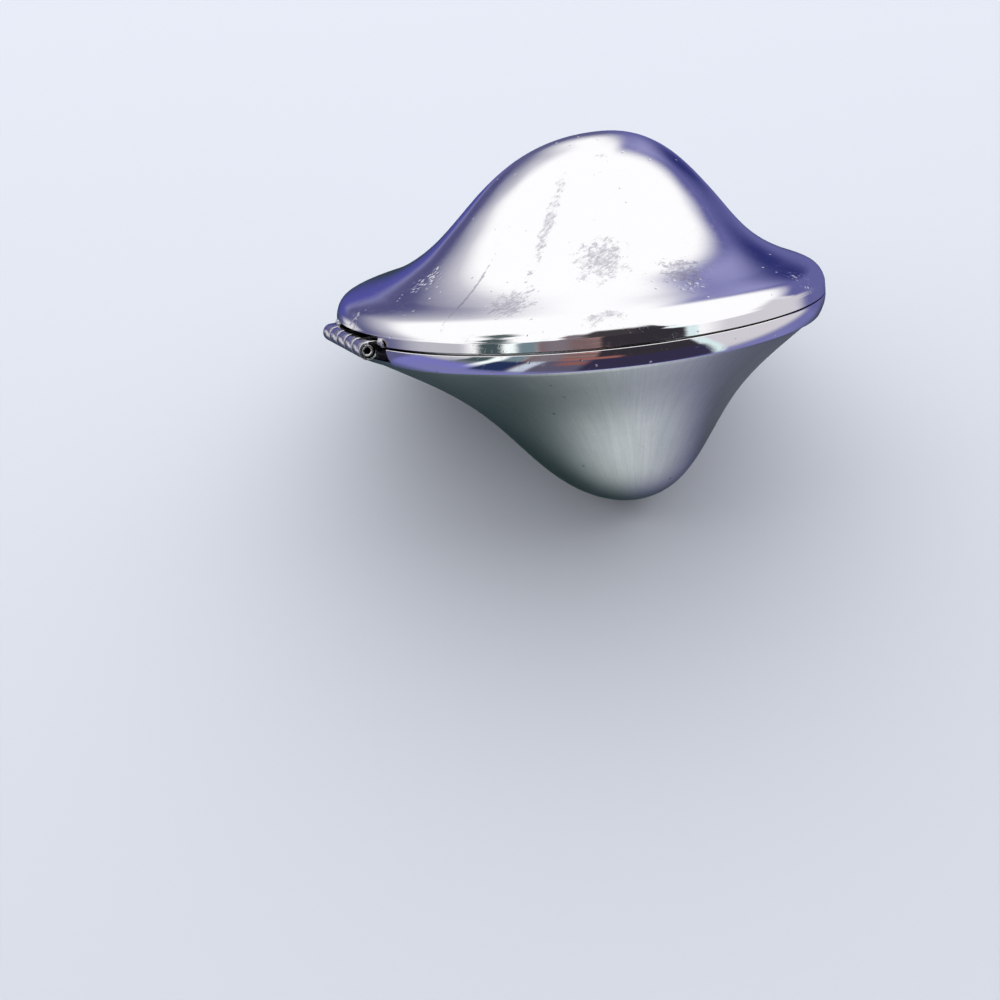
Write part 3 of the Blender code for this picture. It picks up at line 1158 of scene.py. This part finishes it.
@dataclass
class Hinge(Maker):
    """Barrel of alternating knuckles on a tube, with their leaves and the solder at its ends."""

    segments: int = 72
    edge: float = 0.06 * MM
    leaf_share: float = 1.03
    flare_length: float = 0.4 * MM
    flare_radius: float = 0.86 * MM
    tube_segments: int = 48
    flare_steps: int = 9
    bead_radii: Triple = (0.80 * MM, 0.74 * MM, 0.74 * MM)
    bead_place: Triple = (-0.42 * MM, 1.02 * MM, 0.98 * MM)
    bead_rings: int = 30
    bead_columns: int = 56
    bead_pole: float = 0.06
    bead_swell_shares: Pair = (0.10, 0.06)

    def at_axis(self, points: Array) -> Array:
        """Points given from the hinge's axis, moved to where the axis is."""
        return points + np.array([self.sizes.axis_x, 0.0, -self.sizes.axis_drop])

    def outline(self, side: float, grow: float) -> Array:
        """Outline of a knuckle as distance over angle: a circle, drawn out to a flat leaf.

        It runs from the axis's level up the leaf's foot, its end and its top, then round the circle.

        Args:
            side: 1 for a leaf above the axis, -1 for one below.
            grow: Amount by which the outline is grown.

        Returns:
            Points across and up from the axis, once round.
        """
        sizes = self.sizes
        reach = sizes.notch_reach - sizes.seat_gap + grow
        radius = sizes.knuckle_radius + grow
        low = math.atan2(sizes.leaf_lift, reach)
        corner = math.atan2(radius, reach)
        turns = np.sort(np.concatenate([even_turns(self.segments), [low, corner]]))
        over_axis = np.maximum(np.sin(turns), math.sin(low))
        distance = np.select(
            [turns < low, turns <= corner, turns < math.pi / 2.0],
            [radius + (reach / math.cos(low) - radius) * turns / low, reach / np.cos(turns),
             radius / over_axis], radius)
        return np.stack([distance * np.cos(turns), side * distance * np.sin(turns)], 1)

    def knuckle(self, number: int) -> None:
        """Makes a knuckle: its outline carried along the axis, rounded at its ends and bored.

        Args:
            number: Number from 0 on along the axis; even ones belong to the lid.
        """
        sizes = self.sizes
        side, body = (-1.0, Body.BASE) if number % 2 else (1.0, Body.LID)
        length = (sizes.barrel_length - (sizes.knuckle_count - 1) * sizes.knuckle_gap) / sizes.knuckle_count
        middle = (number - (sizes.knuckle_count - 1) / 2.0) * (length + sizes.knuckle_gap)
        outer = self.outline(side, 0.0)
        turns = np.arctan2(side * outer[:, 1], outer[:, 0])
        bore = sizes.bore_radius * np.stack([np.cos(turns), side * np.sin(turns)], 1)
        half = length / 2.0
        stations = [(bore, half), (bore, -half)]
        for end, turns_out in ((-1.0, EDGE_TURNS), (1.0, EDGE_TURNS[::-1])):
            for turn in turns_out:
                stations.append((self.outline(side, -self.edge * (1.0 - math.sin(turn))),
                                 end * (half - self.edge * (1.0 - math.cos(turn)))))
        rings = [np.column_stack([loop[:, 0], np.full(len(loop), middle + along), loop[:, 1]])
                 for loop, along in stations]
        on_leaf = np.hypot(outer[:, 0], outer[:, 1]) > self.leaf_share * sizes.knuckle_radius
        # Painted shade: the bore's inside and the leaves' end faces take the near-black finish, for their
        # shade as well as grime.
        finish = np.zeros((len(rings), len(outer)), int)
        finish[0] = 1
        finish[1, on_leaf] = 1
        finish[-1, on_leaf] = 1
        self.make(f"barrel_knuckle_{number + 1}", self.at_axis(np.array(rings)), False, body, Slot.SOLDERED,
                  (self.finishes.soldered, self.finishes.grime_and_shade),
                  (f"{body.value}_knuckle_{number // 2 + 1}",), finish)

    def pin(self) -> None:
        """Makes the tube through the knuckles, its ends rounded, as a ring section turned about Y."""
        sizes = self.sizes
        half = sizes.barrel_length / 2.0 - sizes.pin_recess
        wall = (self.flare_radius - sizes.pin_hole_radius) / 2.0
        middle = (self.flare_radius + sizes.pin_hole_radius) / 2.0
        around = even_turns(self.tube_segments)
        path = []
        for end in (1.0, -1.0):
            turns = np.linspace(0.0, math.pi, self.flare_steps) + (0.0 if end > 0.0 else math.pi)
            arc = [(middle + wall * math.cos(turn), end * (half - wall) + wall * math.sin(turn))
                   for turn in turns]
            neck = (sizes.pin_radius, end * (half - self.flare_length))
            path += [neck, *arc] if end > 0.0 else [*arc, neck]
        rings = [
            np.column_stack([radius * np.cos(around), np.full(len(around), along), radius * np.sin(around)])
            for radius, along in path]
        self.make("hinge_tube", self.at_axis(np.array(rings)), False, Body.LID, Slot.SOLDERED,
                  (self.finishes.soldered,), ("hinge_pin",))

    def solder(self, name: str, end: float) -> None:
        """Makes a bead of solder in the corner between an end knuckle's leaf and the lid's rim.

        It is an ellipsoid whose radius swells and shrinks with a few sines of its two angles.

        Args:
            name: Name of the piece.
            end: -1 or 1 for the end of the barrel at -Y or at +Y.
        """
        sizes = self.sizes
        around, down = np.meshgrid(
            even_turns(self.bead_columns),
            np.linspace(self.bead_pole, math.pi - self.bead_pole, self.bead_rings))
        round_swell, down_swell = self.bead_swell_shares
        swell = (1.0 + round_swell * np.sin(3.0 * around + 1.0) * np.sin(down)
                 + down_swell * np.sin(5.0 * down + 2.0 * around))
        ball = np.stack([np.sin(down) * np.cos(around), np.sin(down) * np.sin(around), np.cos(down)], 2)
        across, along, up = self.bead_place
        centre = np.array([sizes.notch_reach + across, end * (sizes.barrel_length / 2.0 + along), up])
        grid = np.array(self.bead_radii) * swell[..., None] * ball + centre
        self.make(name, self.at_axis(grid), True, Body.LID, Slot.SOLDERED, (self.finishes.bead,))

    def build(self) -> None:
        """Makes the barrel."""
        for number in range(self.sizes.knuckle_count):
            self.knuckle(number)
        self.pin()
        self.solder("solder_front", -1.0)
        self.solder("solder_back", 1.0)


@dataclass(frozen=True)
class Patch:
    """Soft-edged field of one colour in the surround, in degrees round and up from the box."""

    azimuth: float
    elevation: float
    half_width: float
    half_height: float
    colour: Triple
    soft_across: float = 3.0
    soft_up: float = 8.0

    def mask(self, azimuth: Array, elevation: Array) -> Array:
        """Share of the patch's colour in each direction: one smooth step across, one up.

        Args:
            azimuth: Degrees round.
            elevation: Degrees up.

        Returns:
            Shares from 0 to 1.
        """
        turn = np.abs((azimuth - self.azimuth + 180.0) % 360.0 - 180.0)
        rise = np.abs(elevation - self.elevation)
        across = smooth((self.half_width + self.soft_across / 2.0 - turn) / self.soft_across)
        return across * smooth((self.half_height + self.soft_up / 2.0 - rise) / self.soft_up)


@dataclass
class Surround:
    """Dome and floor ring of light and dark that only the reflections of the metal see."""

    radius: float = 0.42
    eye_height: float = 0.022
    inner_radius: float = 0.004
    mat_height: float = 0.0004
    high: Triple = (1.06, 1.06, 1.08)
    low: Triple = (0.11, 0.11, 0.24)
    fade: Pair = (-14.0, 8.0)
    rises: Pair = (0.5, 89.5)
    columns: int = 480
    floor_rings: int = 40
    dome_rings: int = 120
    patches: tuple[Patch, ...] = tuple(Patch(*row) for row in (
        (43.0, -14.0, 32.0, 26.0, (0.13, 0.13, 0.35), 7.0, 17.0),
        (20.0, 0.0, 7.0, 8.0, (0.30, 0.30, 0.57), 14.0, 14.0),
        (32.0, -9.5, 8.0, 5.5, (0.03, 0.035, 0.165), 14.0, 9.0),
        (-32.0, -22.0, 24.0, 4.5, (0.085, 0.085, 0.36), 10.0, 4.0),
        (-30.0, -17.2, 18.0, 0.8, (0.22, 0.22, 0.43), 12.0, 2.6),
        (-26.0, -12.6, 14.0, 2.4, (0.085, 0.085, 0.21), 10.0, 4.0),
        (-68.0, -17.5, 10.0, 2.6, (0.78, 0.77, 0.82), 8.0, 3.4),
        (2.0, 0.0, 7.0, 9.0, (1.05, 1.05, 1.08), 12.0, 8.0),
        (112.0, 2.0, 36.0, 17.0, (0.66, 0.64, 0.70), 10.0, 10.0),
        (116.0, -19.0, 30.0, 5.5, (0.17, 0.17, 0.42), 10.0, 4.0),
        (81.0, -14.5, 9.0, 5.5, (0.13, 0.13, 0.34), 8.0, 7.0),
        (-100.0, -1.0, 12.0, 7.0, (0.52, 0.52, 0.58), 8.0, 8.0),
        (-114.0, -18.0, 15.0, 9.0, (0.19, 0.19, 0.52), 4.0, 4.0),
        (-120.0, 12.0, 5.0, 20.0, (0.06, 0.09, 0.10)),
        (-108.0, 27.0, 6.0, 9.0, (0.06, 0.09, 0.10)),
        (-95.0, 41.0, 8.0, 7.0, (0.10, 0.13, 0.14)),
        (-128.0, 16.0, 3.0, 26.0, (1.00, 1.08, 1.08)),
        (-135.0, 16.0, 4.5, 26.0, (0.17, 0.24, 0.28)),
        (-155.0, 22.0, 16.0, 34.0, (0.19, 0.125, 0.13)),
        (-148.0, 22.0, 6.0, 34.0, (0.20, 0.17, 0.20), 8.0),
        (-168.0, 45.0, 7.0, 2.0, (0.34, 0.19, 0.17), 6.0, 3.0),
        (-165.0, 34.0, 8.0, 2.5, (0.58, 0.34, 0.30), 5.0, 3.0),
        (-160.0, 22.0, 11.0, 2.0, (0.42, 0.23, 0.21), 6.0, 3.0),
        (-163.0, 11.0, 9.0, 1.6, (0.34, 0.18, 0.16), 6.0, 3.0),
        (168.0, 22.0, 22.5, 44.0, (0.035, 0.03, 0.04), 2.0),
        (-172.0, 58.0, 20.0, 10.0, (0.05, 0.045, 0.05), 8.0),
        (142.5, 16.0, 3.0, 34.0, (0.72, 0.88, 0.90)),
        (-136.0, -10.0, 6.5, 7.0, (0.02, 0.035, 0.10), 3.0, 4.0),
        (-147.0, -9.0, 3.0, 6.0, (0.55, 0.62, 0.74), 3.0, 4.0),
        (-160.0, -9.0, 10.0, 7.0, (0.11, 0.10, 0.16), 3.0, 4.0),
        (-168.0, 2.0, 12.0, 3.0, (0.32, 0.13, 0.11), 6.0, 3.0),
        (-166.0, -6.0, 9.0, 2.0, (0.26, 0.11, 0.10), 6.0, 2.0),
        (168.0, -10.0, 24.0, 8.0, (0.035, 0.03, 0.07), 4.0, 4.0),
        # Painted shadow: the dark patches low on the floor ring, under and round the box, stand for the
        # box's own shadow on the floor as the metal reflects it.
        (0.0, -43.0, 125.0, 19.0, (0.03, 0.05, 0.055), 30.0, 10.0),
        (-152.0, -36.0, 42.0, 11.0, (0.11, 0.15, 0.15), 24.0, 8.0),
        (100.0, -35.0, 22.0, 7.0, (0.12, 0.13, 0.16), 22.0, 8.0),
        (0.0, -68.0, 180.0, 24.0, (0.012, 0.03, 0.03), 1.0, 10.0),
        (171.0, -29.0, 27.0, 8.0, (0.84, 0.90, 0.91), 50.0, 15.0),
        (180.0, -19.0, 72.0, 4.0, (0.20, 0.20, 0.46), 20.0, 3.0),
    ))

    def colours(self, azimuth: Array, elevation: Array) -> Array:
        """Colour in each direction: a fade from low to high, then each patch laid over it.

        Args:
            azimuth: Degrees round.
            elevation: Degrees up.

        Returns:
            Colours, three numbers a direction.
        """
        share = smooth((elevation - self.fade[0]) / (self.fade[1] - self.fade[0]))[..., None]
        colour = (1.0 - share) * np.array(self.low) + share * np.array(self.high)
        for patch in self.patches:
            mask = patch.mask(azimuth, elevation)[..., None]
            colour = colour * (1.0 - mask) + mask * np.array(patch.colour)
        return colour

    def build(self) -> None:
        """Makes the shell: rings out over the floor, then up over the dome."""
        turns = even_turns(self.columns)
        reach = np.geomspace(self.inner_radius, self.radius, self.floor_rings)
        rises = np.radians(np.linspace(*self.rises, self.dome_rings))
        radii = np.concatenate([reach, self.radius * np.cos(rises)])
        heights = np.concatenate([
            np.full(self.floor_rings, self.mat_height), self.eye_height + self.radius * np.sin(rises)])
        radius, turn = np.meshgrid(radii, turns, indexing="ij")
        height = np.broadcast_to(heights[:, None], radius.shape)
        grid = np.stack([radius * np.sin(turn), radius * np.cos(turn), height], 2)
        elevation = np.degrees(np.arctan2(height - self.eye_height, radius))
        colour = self.colours(np.degrees(turn), elevation).reshape(-1, 3)
        mesh = bpy.data.meshes.new("surround")
        quads = Weave.faces(len(radii), self.columns, False)
        mesh.from_pydata(grid.reshape(-1, 3).tolist(), [], quads.tolist())
        attribute = mesh.color_attributes.new("glow", "FLOAT_COLOR", "POINT")
        tinted = np.column_stack([colour, np.ones(len(colour))])
        attribute.data.foreach_set("color", tinted.astype(np.float32).ravel())
        item = put("surround", mesh)
        shade = Shade("surround")
        glow = shade.node("ShaderNodeAttribute", {"attribute_name": "glow"}).outputs["Color"]
        light = shade.node("ShaderNodeEmission", {}, {"Color": glow, "Strength": 1.0})
        shade.feed(shade.tree.nodes["Material Output"].inputs["Surface"], light.outputs[0])
        mesh.materials.append(shade.material)
        item.visible_camera = False
        item.visible_diffuse = False
        item.visible_shadow = False


@dataclass
class Studio:
    """Pale floor, soft lamp, backdrop and the camera."""

    floor_colour: Triple = (0.60, 0.63, 0.70)
    backdrop_colour: Triple = (0.84, 0.86, 0.90)
    fill: float = 0.42
    lamp_size: Pair = (2.4, 1.5)
    lamp_place: Triple = (0.1, 0.56, 0.62)
    lamp_radiance: float = 1.5
    camera_place: Triple = (-0.008776, -0.142964, 0.188911)
    camera_forward: Triple = (-0.010198, 0.568109, -0.822890)
    camera_roll: float = math.radians(-7.681)
    focal_px: float = 1700.0
    picture_px: float = 1000.0
    sensor: float = 36.0
    clip: Pair = (0.01, 20.0)
    floor_half: float = 1.6

    def floor(self) -> None:
        """Lays the floor."""
        mesh = bpy.data.meshes.new("floor")
        corners = [(self.floor_half * x, self.floor_half * y, 0.0)
                   for x, y in ((-1.0, -1.0), (1.0, -1.0), (1.0, 1.0), (-1.0, 1.0))]
        mesh.from_pydata(corners, [], [(0, 1, 2, 3)])
        item = put("floor", mesh)
        shade = Shade("floor")
        for key, value in (("Base Color", (*self.floor_colour, 1.0)), ("Roughness", 0.9),
                           ("Specular IOR Level", 0.1)):
            shade.feed(shade.shader.inputs[key], value)
        mesh.materials.append(shade.material)

    def world(self) -> None:
        """Sets the backdrop that the camera and reflections see, and the fill on matt surfaces."""
        world = bpy.data.worlds.new("studio")
        bpy.context.scene.world = world
        sky = Tree(world)
        path = sky.node("ShaderNodeLightPath").outputs
        seen = Channel(sky, path["Is Camera Ray"])
        for ray in ("Is Glossy Ray", "Is Transmission Ray"):
            seen = seen.math("MAXIMUM", seen, Channel(sky, path[ray]))
        white = (1.0, 1.0, 1.0, 1.0)
        fill = sky.node("ShaderNodeBackground", {}, {"Color": white, "Strength": self.fill})
        backdrop = sky.node("ShaderNodeBackground", {}, {"Color": (*self.backdrop_colour, 1.0)})
        mix = sky.node("ShaderNodeMixShader", {}, {0: seen, 1: fill.outputs[0], 2: backdrop.outputs[0]})
        sky.feed(sky.tree.nodes["World Output"].inputs["Surface"], mix.outputs[0])

    def lamp(self) -> None:
        """Hangs the soft lamp above and behind the box."""
        data = bpy.data.lights.new("soft_lamp", "AREA")
        data.shape = "RECTANGLE"
        data.size, data.size_y = self.lamp_size
        data.energy = self.lamp_radiance * math.pi * self.lamp_size[0] * self.lamp_size[1]
        item = put("soft_lamp", data)
        item.location = self.lamp_place
        item.visible_camera = False
        item.visible_glossy = False

    def camera(self) -> None:
        """Sets the camera at the photograph's place, direction, roll and focal length."""
        data = bpy.data.cameras.new("camera")
        data.sensor_width = self.sensor
        data.lens = self.focal_px / self.picture_px * self.sensor
        data.clip_start, data.clip_end = self.clip
        item = put("camera", data)
        forward = Vector(self.camera_forward).normalized()
        level = forward.to_track_quat("-Z", "Y").to_matrix().to_4x4()
        item.matrix_world = (Matrix.Translation(self.camera_place) @ level
                             @ Matrix.Rotation(self.camera_roll, 4, "Z"))
        bpy.context.scene.camera = item

    def build(self) -> None:
        """Sets up everything round the box."""
        self.floor()
        Surround().build()
        self.world()
        self.lamp()
        self.camera()
        bpy.context.scene.view_settings.view_transform = "Standard"


def main() -> None:
    """Builds the box and the studio."""
    logging.basicConfig(level=logging.INFO, format="%(name)s %(message)s")
    sizes = BoxSizes()
    place = UprightFrame.from_model(sizes)
    finishes = Finishes.make()
    Studio().build()
    for maker in (Lid, Base, Hinge):
        maker(sizes, place, finishes).build()


if __name__ == "__main__":
    main()
